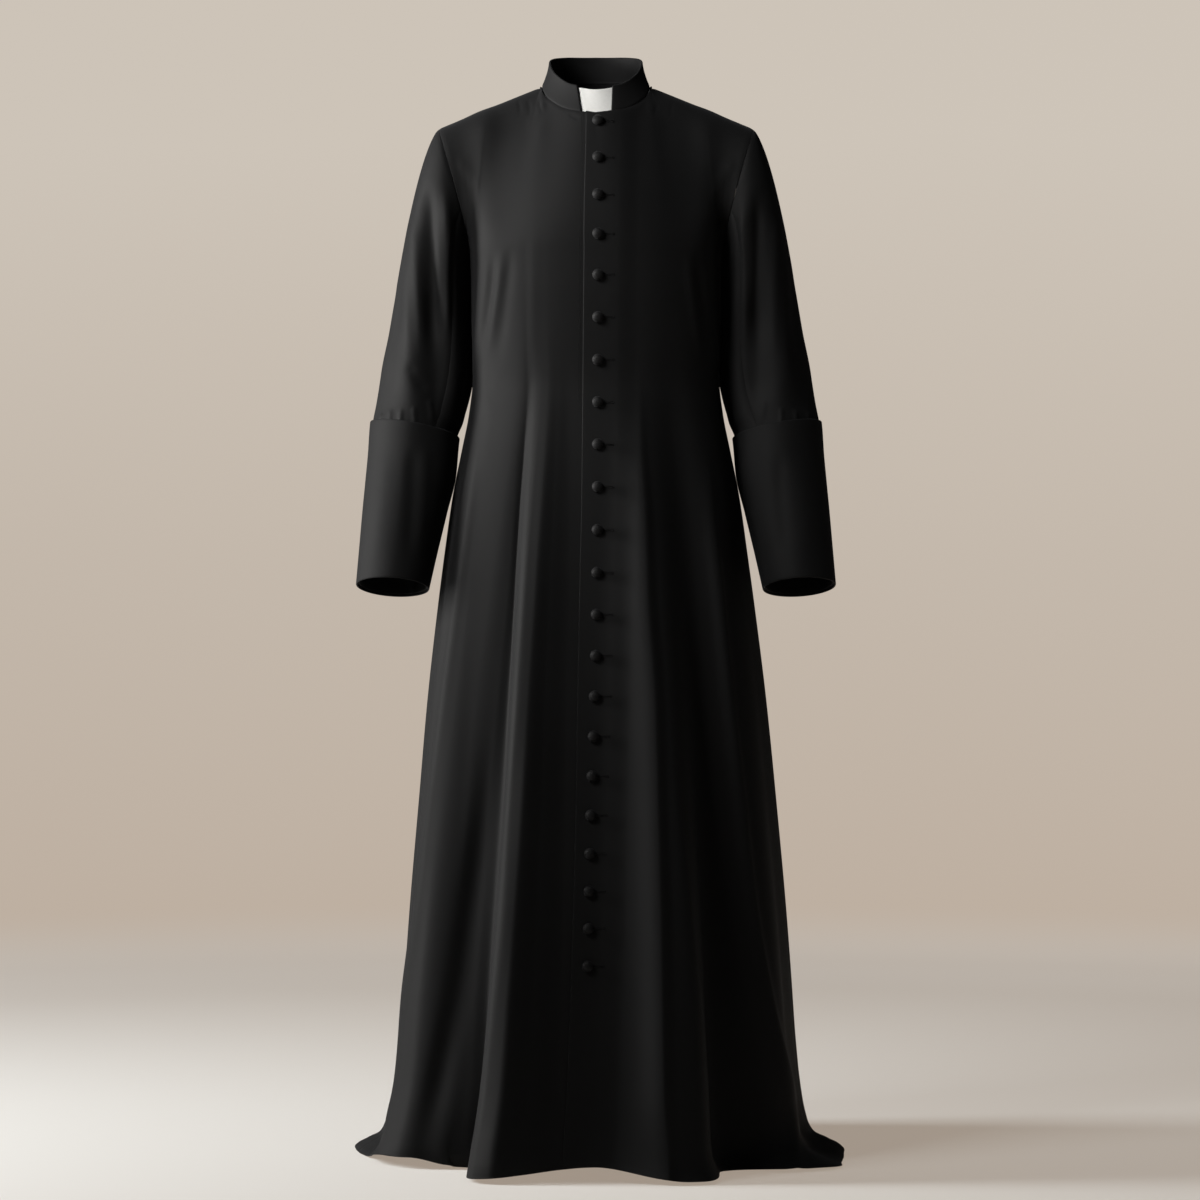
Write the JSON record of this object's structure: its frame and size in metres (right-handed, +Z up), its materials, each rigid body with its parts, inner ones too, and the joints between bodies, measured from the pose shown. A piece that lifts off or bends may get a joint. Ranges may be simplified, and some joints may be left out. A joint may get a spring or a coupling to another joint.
{
  "type": "cassock",
  "caption": "Full-length black cassock, hollow as worn: buttoned front, stand collar with a white tab, two-piece sleeves with deep turned-back cuffs, and a flared skirt with open hem.",
  "frame": {"origin": "midway between the two points where the collar seam crosses the shoulder seams, where the wearer's neck and shoulders hold the garment", "axes": "+Z up, -Y out of the front, +X to the wearer's left"},
  "size_m": [0.7274, 0.7079, 1.6063],
  "materials": {
    "body_wool": "matte black worsted with a faint sheen",
    "sleeve_wool": "matte black worsted with a faint sheen",
    "cuff_wool": "matte black worsted",
    "collar_wool": "matte black worsted over a stiff band",
    "tab_linen": "stiff white with fine ribs, slightly glossy",
    "button_wool": "cloth-covered, matte black"
  },
  "bodies": {
    "root": {"front_left": "body_wool", "front_right": "body_wool", "back_left": "body_wool", "back_right": "body_wool", "sleeve_top_left": "sleeve_wool", "sleeve_under_left": "sleeve_wool", "sleeve_top_right": "sleeve_wool", "sleeve_under_right": "sleeve_wool", "cuff_left": "cuff_wool", "cuff_right": "cuff_wool", "collar": "collar_wool", "collar_tab": "tab_linen", "button_01": "button_wool", "button_02": "button_wool", "button_03": "button_wool", "button_04": "button_wool", "button_05": "button_wool", "button_06": "button_wool", "button_07": "button_wool", "button_08": "button_wool", "button_09": "button_wool", "button_10": "button_wool", "button_11": "button_wool", "button_12": "button_wool", "button_13": "button_wool", "button_14": "button_wool", "button_15": "button_wool", "button_16": "button_wool", "button_17": "button_wool", "button_18": "button_wool", "button_19": "button_wool", "button_20": "button_wool", "button_21": "button_wool", "button_22": "button_wool"}
  },
  "joints": []
}
